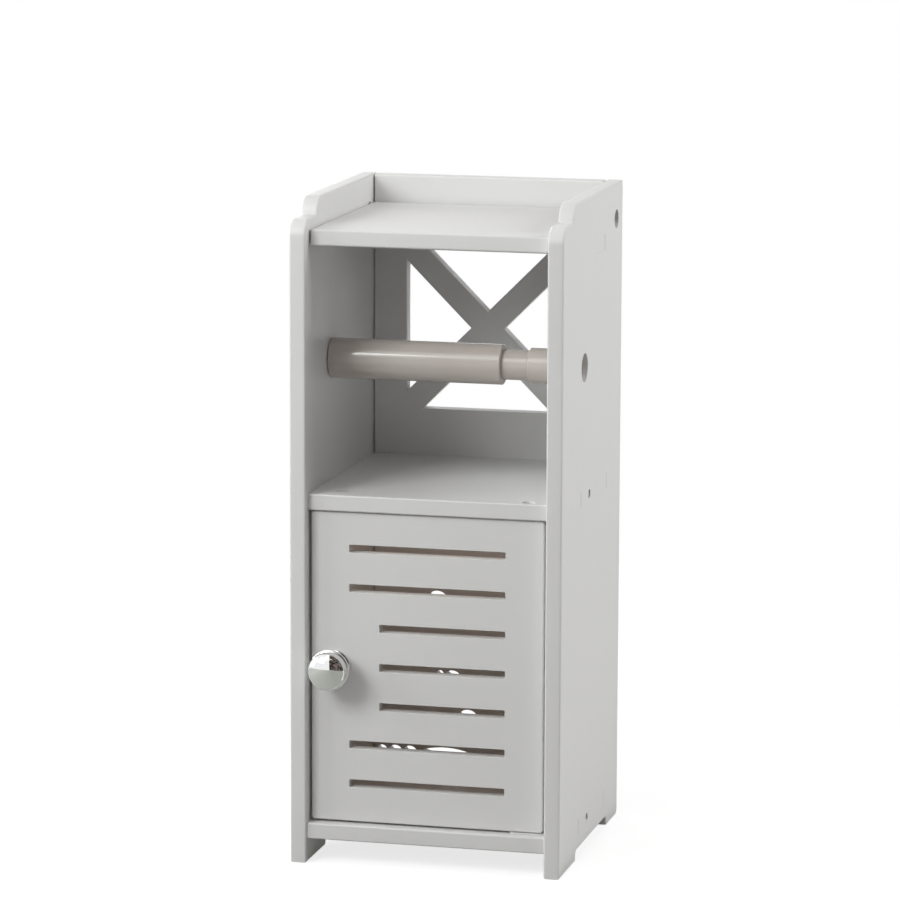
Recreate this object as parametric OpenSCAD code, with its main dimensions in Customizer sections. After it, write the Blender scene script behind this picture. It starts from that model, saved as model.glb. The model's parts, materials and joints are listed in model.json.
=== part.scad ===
// Narrow bathroom cabinet for toilet rolls: an open bay with a sprung roll
// spindle, a slotted door below it and a lift-up lid on top.
// +X is the viewer's right, -Y the front, +Z up, with the floor at Z = 0.
// Inside the modules Y counts backwards from the side panels' front edges.

/* [Cabinet] */
// Width over both side panels
body_w = 170; // [168:1:220]
// Depth of the side panels
body_d = 170; // [166:1:210]
// Height of the side panels
body_h = 410; // [400:1:480]
// Thickness of the carcass boards
board_t = 10; // [9:0.5:11]
// Rounding of the boards' long edges
edge_r = 1; // [0.5:0.1:2]

/* [Shelves] */
// Underside of the bottom shelf above the floor
bottom_z = 15; // [12:1:20]
// Underside of the middle shelf above the floor
middle_z = 220.5; // [216:0.5:224]
// Lid's top face below the top of the side panels
lid_drop = 17.5; // [14:0.5:20]
// Front edge of the bottom shelf behind the side panels
bottom_recess = 2; // [1:0.5:6]
// Front edge of the middle shelf behind the side panels
middle_recess = 5.5; // [2:0.5:7]
// Front edge of the lid behind the side panels
lid_recess = 9; // [4:0.5:12]

/* [Side panel outline] */
// Rise from the ledge at the front to the top edge
ledge_rise = 11; // [6:0.5:12]
// Length of the ledge at the front
ledge_l = 28; // [20:1:40]
// Radius of the front corner below the ledge
front_r = 10.5; // [4:0.5:14]
// Length of the front foot
front_foot = 46; // [36:1:60]
// Length of the rear foot
rear_foot = 33; // [20:1:44]
// Height of the arch between the feet
arch_h = 6.2; // [5:0.1:9]
// Radius under the arch's ends
arch_r = 4; // [2:0.5:4.5]
// Radius of the feet's inner corners
foot_r = 2; // [1:0.5:3]
// Radius of the rear bottom corner
heel_r = 4; // [2:0.5:6]

/* [Joinery] */
// Length of each tab that passes through a side panel
tab_l = 25; // [18:1:30]
// Front end of the front tab
tab_front = 28; // [20:1:34]
// Distance from the front tab to the rear tab
tab_pitch = 74; // [64:1:80]
// Gap left in each mortise behind its tab
tab_gap = 0.6; // [0.2:0.1:1]
// Diameter of the side screws' counterbores
bore_d = 6; // [5.5:0.1:7]
// Depth of the side screws' counterbores
bore_depth = 4; // [2:0.5:6]
// Diameter of the wood screws' shanks
screw_d = 3; // [2.5:0.1:3.5]
// Length of the wood screws under the head
screw_l = 26; // [20:1:30]
// Diameter of the wood screws' heads
screw_head = 5.4; // [5:0.1:5.4]
// Front edge of the stretcher under the lid
stretcher_y = 87; // [78:1:92]
// Depth of the stretcher
stretcher_d = 35; // [31:1:38]

/* [Lid] */
// Gap between the lid and each side panel
lid_side_gap = 0.8; // [0.5:0.1:1.5]
// Gap between the lid and the back panel
lid_rear_gap = 2.2; // [2:0.1:3]
// Lid's rear edge to its pivot line
lid_pivot_in = 6.5; // [6:0.1:7]
// Diameter of the lid pins' spigots
lid_pin_d = 5; // [4:0.1:5.5]
// Reach of each spigot into the lid
lid_pin_l = 12; // [8:1:20]
// Diameter of the lid pins' plugs
lid_plug_d = 12; // [10:0.5:14]
// Thickness of the lid pins' plugs
lid_plug_t = 6; // [4:0.5:8]

/* [Door] */
// Thickness of the door
door_t = 8; // [8:0.5:9]
// Front face of the door behind the side panels
door_recess = 8; // [7.5:0.5:10]
// Gap on the knob side of the door
door_gap_l = 1.3; // [1:0.1:2.5]
// Gap on the pivot side of the door
door_gap_r = 2.5; // [2.2:0.1:4]
// Gap between the door and the middle shelf
door_gap_top = 0.5; // [0.4:0.1:2]
// Gap between the door and the bottom shelf
door_gap_bottom = 1.2; // [1:0.1:2]
// Radius of the door's corners
door_r = 2; // [1:0.5:4]
// Door's pivot line to its edge
pivot_in = 10.5; // [9:0.5:12]
// Diameter of the door's pivot pins
pivot_d = 4; // [3:0.1:4.2]
// Reach of each pivot pin into the door
pivot_reach = 8; // [6:0.5:12]
// Diameter of the pivot pins' heads
pivot_head = 8.4; // [7:0.1:9]
// Thickness of the pivot pins' heads
pivot_head_t = 2; // [1.5:0.1:3]
// Recess of the pivot pins' heads below the shelf faces
pivot_sink = 2; // [1:0.1:3]
// Length of the glide pad under the door
pad_l = 22; // [14:1:22]
// Thickness of the glide pad
pad_t = 0.9; // [0.5:0.1:0.9]

/* [Door slots] */
// Number of slots
slot_n = 7; // [5:1:7]
// Height of each slot
slot_h = 5; // [4.5:0.5:7]
// Distance from slot to slot
slot_pitch = 24.5; // [20:0.5:26]
// Length of the long slots
slot_long = 98; // [85:1:104]
// Length of the short slots beside the knob
slot_short = 79; // [60:1:84]
// Slots' right ends to the door's edge
slot_in = 24; // [20:1:28]
// First slot's middle below the door's top edge
slot_top = 22.7; // [18:0.1:26]
// Radius of the slots' corners
slot_r = 0.8; // [0.4:0.1:1.5]

/* [Knob and catch] */
// Knob's axis to the door's edge
knob_in = 15; // [14:0.5:24]
// Reach of the knob in front of the door
knob_reach = 24; // [21:0.5:30]
// Diameter of the knob's head
knob_d = 24.8; // [22:0.1:27]
// Diameter of the knob's foot
knob_foot_d = 20; // [16:0.5:21]
// Thickness of the knob's foot
knob_foot_t = 2; // [1:0.5:3]
// Diameter of the knob's neck
knob_neck_d = 10.5; // [9:0.5:12]
// Thickness of the rim round the knob's head
knob_rim_t = 1.8; // [1:0.1:3]
// Height of the knob's dome
knob_dome_h = 10.5; // [8:0.5:12]
// Diameter of the knob's screw
knob_screw_d = 4; // [3:0.1:5]
// Grip of the knob's screw inside the knob
knob_grip = 8; // [6:0.5:9]
// Diameter of the magnetic stop pin
stop_d = 8.8; // [7:0.1:10]
// Reach of the stop pin below the middle shelf
stop_reach = 10; // [7:0.5:12]
// Stop pin's axis to the side panel
stop_in = 17.5; // [14:0.5:24]
// Diameter of the strike disc in the door
strike_d = 10; // [8:0.5:12]
// Thickness of the strike disc
strike_t = 1.2; // [0.8:0.1:2]

/* [Roll spindle] */
// Spindle's axis behind the side panels' front edges
spindle_y = 61; // [56:1:66]
// Diameter of the spindle's holes in the side panels
spindle_hole = 18; // [14:0.5:19]
// Outer diameter of the sleeve
sleeve_d = 25; // [23:0.5:30]
// Wall of the sleeve
sleeve_wall = 1.9; // [1.5:0.1:2]
// Length of the lip inside the sleeve's mouth
lip_l = 4; // [2:0.5:6]
// Diameter of the plunger's rod
rod_d = 18.5; // [16:0.1:18.5]
// Diameter of the plunger's cap
cap_d = 22; // [21:0.5:22.5]
// Length of the plunger's cap
cap_l = 24; // [20:0.5:24]
// Travel of the plunger until its cap meets the sleeve
travel = 16; // [8:0.5:20]
// Reach of each tip into a side panel
tip_l = 5; // [3:0.5:7]
// Length of the collar that keeps the plunger in
collar_l = 3; // [2:0.5:5]
// Spare extension of the plunger when the spindle is out
spare = 6; // [3:0.5:8]
// Wire of the spring
wire_d = 1.4; // [1:0.1:2]
// Mean diameter of the spring's coil
coil_d = 13; // [10:0.5:15]
// Turns of the spring
turns = 12; // [6:1:16]

/* [Back panel] */
// Gap on each side of the back panel
back_gap = 0.6; // [0.3:0.1:1]
// Half the width of the square that the cross fills
cross_half = 53; // [40:1:56]
// Middle of the cross above the middle shelf
cross_rise = 83; // [76:1:86]
// Width of the cross's bars
bar_w = 15; // [10:0.5:20]
// Outermost back screws from the middle
back_screw_x = 50; // [30:1:60]

/* [Hidden] */
$fn = 64;

// Clearances
pin_play = 0.06;   // radial, between a pivot pin and what turns on it
rest_gap = 0.3;    // between pieces that move past each other
head_play = 0.1;   // radial, round the head of a pivot pin
pilot_spare = 3;   // depth of a pilot hole past its screw's tip
eps = 1;           // overshoot of a cut past the face it opens

// Cross recess of a screw, as shares of its head's diameter and thickness
recess_l = 0.6;
recess_w = 1 / 6;
recess_depth = 0.6;
screw_head_t = 2;
knob_screw_head = 2 * knob_screw_d;
knob_screw_head_t = 2.4;

// Rounding of the rims of the spindle's sleeve and cap
sleeve_round = 0.9;
cap_round = 1.2;

// Colours
board_c = [0.93, 0.93, 0.92];
steel_c = [0.72, 0.73, 0.75];
chrome_c = [0.86, 0.87, 0.89];
plastic_c = [0.8, 0.79, 0.77];

// The knob stands in front of the side panels, so the whole object's middle
// lies behind the panels' middle.
front_y = (knob_reach - door_recess - body_d) / 2;

inner_w = body_w - 2 * board_t;
inner_d = body_d - board_t;
ledge_z = body_h - ledge_rise;
lid_top = body_h - lid_drop;
lid_z = lid_top - board_t;
bottom_top = bottom_z + board_t;
middle_top = middle_z + board_t;

tab_y = [tab_front, tab_front + tab_pitch];
screw_y = tab_front + tab_l + (tab_pitch - tab_l) / 2;
shelf_mid = [bottom_z + board_t / 2, middle_z + board_t / 2];
back_screw_xs = [-back_screw_x, 0, back_screw_x];
pilot_l = bore_depth + screw_l - board_t + pilot_spare;

stretcher_z = lid_z - rest_gap - board_t;
stretcher_tab_y = stretcher_y + (stretcher_d - tab_l) / 2;

lid_rear = inner_d - lid_rear_gap;
lid_pivot_y = lid_rear - lid_pivot_in;
lid_pivot_z = lid_z + board_t / 2;

door_l = -inner_w / 2 + door_gap_l;
door_right = inner_w / 2 - door_gap_r;
door_w = door_right - door_l;
door_z = bottom_top + door_gap_bottom;
door_h = middle_z - door_gap_top - door_z;
door_rear = door_recess + door_t;
pivot_x = door_right - pivot_in;
pivot_y = door_recess + door_t / 2;

// The short slots are the middle ones, and the knob sits level with them.
middle_slot = floor(slot_n / 2);
slot_z = [for (i = [0:slot_n - 1]) door_z + door_h - slot_top - i * slot_pitch];
slot_l = [for (i = [0:slot_n - 1]) abs(i - middle_slot) <= 1 ? slot_short : slot_long];
slots_right = door_right - slot_in;
knob_x = door_l + knob_in;
knob_z = slot_z[middle_slot];

stop_x = -inner_w / 2 + stop_in;
stop_y = door_rear + rest_gap + stop_d / 2;
strike_in = 1.5;   // from the strike disc's edge to the door's top edge
strike_z = door_z + door_h - strike_in - strike_d / 2;

spindle_z = (middle_top + lid_z) / 2;
spindle_left = -inner_w / 2 + rest_gap;
spindle_right = inner_w / 2 - rest_gap;
tip_r = spindle_hole / 2 - pin_play;
sleeve_bore_r = sleeve_d / 2 - sleeve_wall;
sleeve_end_t = 3;
rod_r = rod_d / 2;
collar_r = sleeve_bore_r - pin_play;
cap_left = spindle_right - cap_l;
sleeve_l = cap_left - rest_gap - travel - spindle_left;
collar_left = spindle_left + sleeve_l - lip_l - spare - collar_l;
spring_left = spindle_left + sleeve_end_t;
spring_l = collar_left - spring_left;

// Leaf-shaped piercings of the lower back panel: distance from the middle,
// height above the bottom shelf, length, width. Each pair stands either side of
// the middle; a single one stands to the left of it.
LEAF_PAIRS = [
    [27, 10.8, 35, 6],
    [50.3, 10.8, 9, 5.6],
    [60.1, 10.8, 9, 5.6],
    [69, 10.8, 7, 5],
    [22.1, 62.7, 10, 4.8],
    [30.5, 62.7, 5.4, 4.4],
    [32.2, 113, 13.2, 8]
];
SINGLE_LEAVES = [
    [11.8, 35.7, 13, 8],
    [14.6, 138.1, 8, 5]
];

// ---------- shared shapes ----------

// Places a sub-part whose Y counts from the side panels' front edges
module placed() {
    translate([0, front_y, 0])
        children();
}

// Rectangle from the origin with rounded corners
module rounded_rect(w, h, r) {
    translate([r, 0])
        square([w - 2 * r, h]);
    translate([0, r])
        square([w, h - 2 * r]);
    for (x = [r, w - r], y = [r, h - r])
        translate([x, y])
            circle(r);
}

// What rounding takes off a corner at the origin of a shape in the +X +Y quadrant
module corner_waste(r) {
    difference() {
        translate([-eps, -eps])
            square(r + eps);
        translate([r, r])
            circle(r);
    }
}

// Stands a profile drawn in (Y, Z) up and gives it a width along X about the middle
module across(w) {
    rotate([90, 0, 90])
        linear_extrude(w, center = true)
            children();
}

// Board lying across the cabinet, its front edge rounded
module flat_board(w, y0, y1, z0) {
    translate([0, 0, z0])
        across(w)
            union() {
                translate([y0, 0])
                    rounded_rect(y1 - y0, board_t, edge_r);
                translate([y1 - 2 * edge_r, 0])
                    square([2 * edge_r, board_t]);
            }
}

// Pin or hole along X from x0, to the right for a positive length
module bar_x(x0, l, r) {
    translate([l < 0 ? x0 + l : x0, 0, 0])
        rotate([0, 90, 0])
            cylinder(h = abs(l), r = r);
}

// Screw along +Z: its head from the origin, with a cross recess, then its shank
module screw(head_d, head_t, shank_d, shank_l) {
    recess = [head_d * recess_l, head_d * recess_w, 2 * head_t * recess_depth];
    difference() {
        cylinder(h = head_t, d = head_d);
        for (a = [0, 90])
            rotate(a)
                cube(recess, center = true);
    }
    translate([0, 0, head_t])
        cylinder(h = shank_l, d = shank_d);
}

// ---------- carcass ----------

// Profile of a side panel in (Y, Z)
module side_outline() {
    difference() {
        square([body_d, body_h]);
        // Step down to the ledge
        translate([-eps, ledge_z])
            square([ledge_l + eps, ledge_rise + eps]);
        // Front corner, and the sweep from the ledge up to the top edge
        translate([0, ledge_z])
            mirror([0, 1])
                corner_waste(front_r);
        translate([ledge_l, body_h])
            mirror([0, 1])
                corner_waste(ledge_rise);
        arch_outline();
        // Feet's inner corners and the heel
        translate([front_foot, 0])
            mirror([1, 0])
                corner_waste(foot_r);
        translate([body_d - rear_foot, 0])
            corner_waste(foot_r);
        translate([body_d, 0])
            mirror([1, 0])
                corner_waste(heel_r);
    }
}

// Opening between the front and the rear foot
module arch_outline() {
    difference() {
        translate([front_foot, -eps])
            square([body_d - front_foot - rear_foot, arch_h + eps]);
        translate([front_foot, arch_h])
            mirror([0, 1])
                corner_waste(arch_r);
        translate([body_d - rear_foot, arch_h])
            rotate(180)
                corner_waste(arch_r);
    }
}

// Side panel with its outer face at X = board_t and its inner face at X = 0
module side_panel() {
    difference() {
        intersection() {
            rotate([90, 0, 90])
                linear_extrude(board_t)
                    side_outline();
            linear_extrude(body_h)
                rounded_rect(board_t, body_d, edge_r);
        }
        // Mortises for the shelves' tabs and for the stretcher's tab
        for (y = tab_y, z = [bottom_z, middle_z])
            translate([-eps, y, z])
                cube([board_t + 2 * eps, tab_l + tab_gap, board_t]);
        translate([-eps, stretcher_tab_y, stretcher_z])
            cube([board_t + 2 * eps, tab_l + tab_gap, board_t]);
        // Counterbored holes for the screws into the shelves
        for (z = shelf_mid)
            translate([0, screw_y, z]) {
                bar_x(-eps, board_t + 2 * eps, screw_d / 2);
                bar_x(board_t + eps, -bore_depth - eps, bore_d / 2);
            }
        // Holes for the lid's pin and for the spindle's tip
        translate([0, lid_pivot_y, lid_pivot_z])
            bar_x(-eps, board_t + 2 * eps, lid_plug_d / 2);
        translate([0, spindle_y, spindle_z])
            bar_x(-eps, board_t + 2 * eps, spindle_hole / 2);
    }
}

module left_side_panel() {
    color(board_c)
        placed()
            translate([-inner_w / 2, 0, 0])
                mirror([1, 0, 0])
                    side_panel();
}

module right_side_panel() {
    color(board_c)
        placed()
            translate([inner_w / 2, 0, 0])
                side_panel();
}

// Shelf between the side panels with two tabs at each end and its screw holes
module tabbed_shelf(recess, z) {
    difference() {
        union() {
            flat_board(inner_w, recess, inner_d, z);
            for (y = tab_y)
                translate([-body_w / 2, y, z])
                    cube([body_w, tab_l, board_t]);
        }
        // Pilot holes for the screws through the side panels and the back panel
        for (s = [-1, 1])
            translate([0, screw_y, z + board_t / 2])
                bar_x(s * (inner_w / 2 + eps), -s * (pilot_l + eps), screw_d / 2);
        for (x = back_screw_xs)
            translate([x, inner_d + eps, z + board_t / 2])
                rotate([90, 0, 0])
                    cylinder(h = pilot_l + eps, d = screw_d);
    }
}

// Stepped hole for a pivot pin whose head is sunk in the face at Z = 0
module pivot_hole() {
    translate([pivot_x, pivot_y, -eps])
        cylinder(h = pivot_sink + pivot_head_t + eps, r = pivot_head / 2 + head_play);
    translate([pivot_x, pivot_y, 0])
        cylinder(h = board_t + eps, d = pivot_d);
}

module bottom_shelf() {
    color(board_c)
        placed()
            difference() {
                tabbed_shelf(bottom_recess, bottom_z);
                translate([0, 0, bottom_z])
                    pivot_hole();
            }
}

module middle_shelf() {
    color(board_c)
        placed()
            difference() {
                tabbed_shelf(middle_recess, middle_z);
                translate([0, 0, middle_top])
                    mirror([0, 0, 1])
                        pivot_hole();
                translate([stop_x, stop_y, middle_z - eps])
                    cylinder(h = board_t + 2 * eps, d = stop_d);
            }
}

// Rail that carries the lid and ties the side panels together
module stretcher() {
    color(board_c)
        placed()
            union() {
                translate([-inner_w / 2, stretcher_y, stretcher_z])
                    cube([inner_w, stretcher_d, board_t]);
                translate([-body_w / 2, stretcher_tab_y, stretcher_z])
                    cube([body_w, tab_l, board_t]);
            }
}

// Lens between two arcs
module leaf(l, w) {
    r = (l * l + w * w) / (4 * w);
    intersection() {
        translate([0, r - w / 2])
            circle(r);
        translate([0, w / 2 - r])
            circle(r);
    }
}

// Leaves of a list, on each of the given sides of the middle
module leaf_row(leaves, sides) {
    for (p = leaves, s = sides)
        translate([s * p[0], bottom_top + p[1]])
            leaf(p[2], p[3]);
}

// Square opening with a diagonal cross left standing in it
module cross_openings() {
    diagonal = 4 * cross_half;
    difference() {
        square(2 * cross_half, center = true);
        for (a = [45, -45])
            rotate(a)
                square([diagonal, bar_w], center = true);
    }
}

module back_panel() {
    back_w = inner_w - 2 * back_gap;
    color(board_c)
        placed()
            difference() {
                translate([0, body_d, 0])
                    rotate([90, 0, 0])
                        linear_extrude(board_t)
                            difference() {
                                translate([-back_w / 2, bottom_z])
                                    rounded_rect(back_w, body_h - bottom_z, edge_r);
                                translate([0, middle_top + cross_rise])
                                    cross_openings();
                                leaf_row(LEAF_PAIRS, [-1, 1]);
                                leaf_row(SINGLE_LEAVES, [-1]);
                            }
                for (x = back_screw_xs, z = shelf_mid)
                    translate([x, body_d + eps, z])
                        rotate([90, 0, 0])
                            union() {
                                cylinder(h = board_t + 2 * eps, d = screw_d);
                                cylinder(h = bore_depth + eps, d = bore_d);
                            }
            }
}

// Four wood screws through the side panels into the shelves
module side_screws() {
    color(steel_c)
        placed()
            for (s = [-1, 1], z = shelf_mid)
                translate([s * (body_w / 2 - bore_depth + screw_head_t), screw_y, z])
                    rotate([0, -s * 90, 0])
                        screw(screw_head, screw_head_t, screw_d, screw_l);
}

// Six wood screws through the back panel into the shelves
module back_screws() {
    color(steel_c)
        placed()
            for (x = back_screw_xs, z = shelf_mid)
                translate([x, body_d - bore_depth + screw_head_t, z])
                    rotate([90, 0, 0])
                        screw(screw_head, screw_head_t, screw_d, screw_l);
}

// ---------- lid ----------

module lid() {
    lid_w = inner_w - 2 * lid_side_gap;
    color(board_c)
        placed()
            difference() {
                translate([0, 0, lid_z])
                    across(lid_w)
                        translate([lid_recess, 0])
                            rounded_rect(lid_rear - lid_recess, board_t, edge_r);
                for (s = [-1, 1])
                    translate([0, lid_pivot_y, lid_pivot_z])
                        bar_x(s * (lid_w / 2 + eps), -s * (lid_pin_l + eps), lid_pin_d / 2 + pin_play);
            }
}

// Plug pressed into each side panel, with a spigot that the lid turns on
module lid_pins() {
    color(plastic_c)
        placed()
            for (s = [-1, 1])
                translate([0, lid_pivot_y, lid_pivot_z])
                    union() {
                        bar_x(s * inner_w / 2, s * lid_plug_t, lid_plug_d / 2);
                        bar_x(s * (inner_w / 2 + eps), -s * (lid_pin_l + eps), lid_pin_d / 2);
                    }
}

// ---------- door ----------

module door() {
    color(board_c)
        placed()
            difference() {
                intersection() {
                    translate([0, door_rear, 0])
                        rotate([90, 0, 0])
                            linear_extrude(door_t)
                                difference() {
                                    translate([door_l, door_z])
                                        rounded_rect(door_w, door_h, door_r);
                                    for (i = [0:slot_n - 1])
                                        translate([slots_right - slot_l[i], slot_z[i] - slot_h / 2])
                                            rounded_rect(slot_l[i], slot_h, slot_r);
                                }
                    translate([door_l, door_recess, door_z])
                        linear_extrude(door_h)
                            rounded_rect(door_w, door_t, edge_r);
                }
                // Bores for the pivot pins in the top and bottom edges
                for (z = [door_z - eps, door_z + door_h - pivot_reach - eps])
                    translate([pivot_x, pivot_y, z])
                        cylinder(h = pivot_reach + 2 * eps, r = pivot_d / 2 + pin_play);
                // Screw hole of the knob and seat of the strike disc
                translate([knob_x, door_rear + eps, knob_z])
                    rotate([90, 0, 0])
                        cylinder(h = door_t + 2 * eps, d = knob_screw_d);
                translate([stop_x, door_rear + eps, strike_z])
                    rotate([90, 0, 0])
                        cylinder(h = strike_t + eps, d = strike_d);
            }
}

// Pin with a flat head at the origin and its shank along +Z, across a gap into the door
module pivot_pin(gap) {
    cylinder(h = pivot_head_t, d = pivot_head);
    cylinder(h = board_t - pivot_sink + gap + pivot_reach, d = pivot_d);
}

module upper_pivot_pin() {
    color(steel_c)
        placed()
            translate([pivot_x, pivot_y, middle_top - pivot_sink])
                mirror([0, 0, 1])
                    pivot_pin(door_gap_top);
}

module lower_pivot_pin() {
    color(steel_c)
        placed()
            translate([pivot_x, pivot_y, bottom_z + pivot_sink])
                pivot_pin(door_gap_bottom);
}

// Round-ended pad on the bottom shelf that the door turns over
module door_glide_pad() {
    straight_l = pad_l - door_t;
    color(board_c)
        placed()
            translate([pivot_x, pivot_y, bottom_top])
                linear_extrude(pad_t)
                    difference() {
                        union() {
                            square([straight_l, door_t], center = true);
                            for (s = [-1, 1])
                                translate([s * straight_l / 2, 0])
                                    circle(d = door_t);
                        }
                        circle(d = pivot_d);
                    }
}

// Magnetic pin through the middle shelf that the closed door meets
module stop_pin() {
    color(chrome_c)
        placed()
            translate([stop_x, stop_y, middle_z - stop_reach])
                cylinder(h = stop_reach + board_t, d = stop_d);
}

module strike_disc() {
    color(steel_c)
        placed()
            translate([stop_x, door_rear, strike_z])
                rotate([90, 0, 0])
                    cylinder(h = strike_t, d = strike_d);
}

// Half profile of the knob: radius along X, distance from the door along Y
module knob_profile() {
    base_r = knob_foot_d / 2;
    neck_r = knob_neck_d / 2;
    head_r = knob_d / 2;
    rim_y = knob_reach - knob_dome_h - knob_rim_t;
    dome_y = rim_y + knob_rim_t;
    cove_h = rim_y - knob_foot_t;
    dome_r = (head_r * head_r + knob_dome_h * knob_dome_h) / (2 * knob_dome_h);
    cove_r = base_r - neck_r;
    square([base_r, knob_foot_t]);
    // Waisted neck
    difference() {
        translate([0, knob_foot_t])
            square([base_r, cove_h]);
        translate([base_r, knob_foot_t + cove_h / 2])
            scale([1, cove_h / 2 / cove_r])
                circle(cove_r);
    }
    translate([0, rim_y])
        square([head_r, knob_rim_t]);
    // Domed face
    intersection() {
        translate([0, dome_y])
            square([head_r, knob_dome_h]);
        translate([0, knob_reach - dome_r])
            circle(dome_r);
    }
}

module knob() {
    color(chrome_c)
        placed()
            translate([knob_x, door_recess, knob_z])
                rotate([90, 0, 0])
                    difference() {
                        rotate_extrude()
                            knob_profile();
                        translate([0, 0, -eps])
                            cylinder(h = knob_grip + 2 * eps, d = knob_screw_d);
                    }
}

// Screw from inside the door into the knob
module knob_screw() {
    color(steel_c)
        placed()
            translate([knob_x, door_rear + knob_screw_head_t, knob_z])
                rotate([90, 0, 0])
                    screw(knob_screw_head, knob_screw_head_t, knob_screw_d, door_t + knob_grip);
}

// ---------- roll spindle ----------

// Half profile of a barrel with rounded rims, its left end at Y = x0
module barrel_profile(r, l, rim_r, x0) {
    translate([0, x0])
        square([r - rim_r, l]);
    translate([0, x0 + rim_r])
        square([r, l - 2 * rim_r]);
    for (y = [x0 + rim_r, x0 + l - rim_r])
        translate([r - rim_r, y])
            circle(rim_r);
}

// Half profile of the sleeve: radius along X, place across the cabinet along Y
module sleeve_profile() {
    mouth = spindle_left + sleeve_l;
    lip_r = rod_r + pin_play;
    difference() {
        union() {
            barrel_profile(sleeve_d / 2, sleeve_l, sleeve_round, spindle_left);
            translate([0, spindle_left - tip_l])
                square([tip_r, tip_l + eps]);
        }
        translate([-eps, spindle_left + sleeve_end_t])
            square([sleeve_bore_r + eps, sleeve_l - sleeve_end_t - lip_l]);
        translate([-eps, mouth - lip_l - eps])
            square([lip_r + eps, lip_l + 2 * eps]);
    }
}

// Half profile of the plunger: rod with its collar, cap and tip
module plunger_profile() {
    translate([0, collar_left])
        square([collar_r, collar_l]);
    translate([0, collar_left])
        square([rod_r, cap_left - collar_left + eps]);
    barrel_profile(cap_d / 2, cap_l, cap_round, cap_left);
    translate([0, spindle_right - eps])
        square([tip_r, tip_l + eps]);
}

// Turns a half profile about the spindle's axis
module turned_along_x() {
    translate([0, spindle_y, spindle_z])
        rotate([0, 90, 0])
            rotate_extrude()
                children();
}

module spindle_sleeve() {
    color(plastic_c)
        placed()
            turned_along_x()
                sleeve_profile();
}

module spindle_plunger() {
    color(plastic_c)
        placed()
            turned_along_x()
                plunger_profile();
}

// Point k of the wire's section at turn angle a of a coil along X
function coil_point(a, k, sides) =
    let (
        rise = (spring_l - wire_d) * a / (360 * turns) + wire_d / 2,
        b = 360 * k / sides,
        r = coil_d / 2 + wire_d / 2 * cos(b)
    )
    [rise + wire_d / 2 * sin(b), r * cos(a), r * sin(a)];

module spindle_spring() {
    sides = 6;
    rings_per_turn = 8;
    rings = rings_per_turn * turns;
    points = [
        for (i = [0:rings], k = [0:sides - 1])
            coil_point(360 * turns * i / rings, k, sides)
    ];
    skin = [
        for (i = [0:rings - 1], k = [0:sides - 1])
            let (a = i * sides + k, b = i * sides + (k + 1) % sides)
            for (t = [[a, b, a + sides], [b, b + sides, a + sides]])
                t
    ];
    start_cap = [for (k = [1:sides - 2]) [0, k + 1, k]];
    end_cap = [for (k = [1:sides - 2]) [rings * sides, rings * sides + k, rings * sides + k + 1]];
    color(steel_c)
        placed()
            translate([spring_left, spindle_y, spindle_z])
                polyhedron(points, concat(skin, start_cap, end_cap));
}

left_side_panel();
right_side_panel();
bottom_shelf();
middle_shelf();
stretcher();
back_panel();
side_screws();
back_screws();
lid();
lid_pins();
door();
upper_pivot_pin();
lower_pivot_pin();
door_glide_pad();
stop_pin();
strike_disc();
knob();
knob_screw();
spindle_sleeve();
spindle_plunger();
spindle_spring();
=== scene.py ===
"""Finish, studio and camera of a narrow bathroom cabinet for toilet rolls.

The side panels, back panel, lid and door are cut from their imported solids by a
slab with rounded rims, so that holes and mortises stay where the solids have
them. All lengths are in metres.
"""

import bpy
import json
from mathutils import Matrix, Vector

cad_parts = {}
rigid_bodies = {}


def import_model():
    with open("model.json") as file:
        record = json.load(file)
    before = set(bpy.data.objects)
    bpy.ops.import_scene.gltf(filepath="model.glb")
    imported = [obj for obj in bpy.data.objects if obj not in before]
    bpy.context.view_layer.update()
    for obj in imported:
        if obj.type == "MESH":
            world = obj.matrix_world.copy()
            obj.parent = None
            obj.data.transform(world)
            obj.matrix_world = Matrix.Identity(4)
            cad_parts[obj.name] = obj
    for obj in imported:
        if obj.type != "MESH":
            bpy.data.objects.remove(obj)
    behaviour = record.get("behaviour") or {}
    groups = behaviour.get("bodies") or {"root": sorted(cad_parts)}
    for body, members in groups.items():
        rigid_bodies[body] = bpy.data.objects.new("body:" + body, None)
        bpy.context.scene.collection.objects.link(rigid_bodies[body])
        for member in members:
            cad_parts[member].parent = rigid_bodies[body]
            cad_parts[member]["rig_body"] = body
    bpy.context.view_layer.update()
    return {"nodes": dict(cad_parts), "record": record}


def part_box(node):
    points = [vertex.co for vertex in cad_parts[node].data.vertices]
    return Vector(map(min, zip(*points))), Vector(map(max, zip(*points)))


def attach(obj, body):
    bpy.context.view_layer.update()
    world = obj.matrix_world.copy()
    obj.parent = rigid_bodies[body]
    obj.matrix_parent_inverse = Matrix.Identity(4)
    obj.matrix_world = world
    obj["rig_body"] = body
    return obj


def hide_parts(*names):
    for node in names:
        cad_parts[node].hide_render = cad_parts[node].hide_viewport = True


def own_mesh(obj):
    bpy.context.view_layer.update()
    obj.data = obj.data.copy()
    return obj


bl_info = {
    "name": "Toilet Roll Cabinet",
    "version": (1, 0, 0),
    "blender": (4, 5, 0),
    "location": "3D View > Sidebar > Cabinet",
    "description": "Dresses the cabinet's packed solids and sets up its studio",
    "category": "Object",
}

import json
import math

import bmesh
import bpy
from bpy.props import FloatProperty, FloatVectorProperty, IntProperty, PointerProperty
from mathutils import Matrix, Vector

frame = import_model()
NODES = frame["nodes"]
SLOT_OF = {row["node"]: row["material_slot"] for row in frame["record"]["subparts"]}

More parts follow.
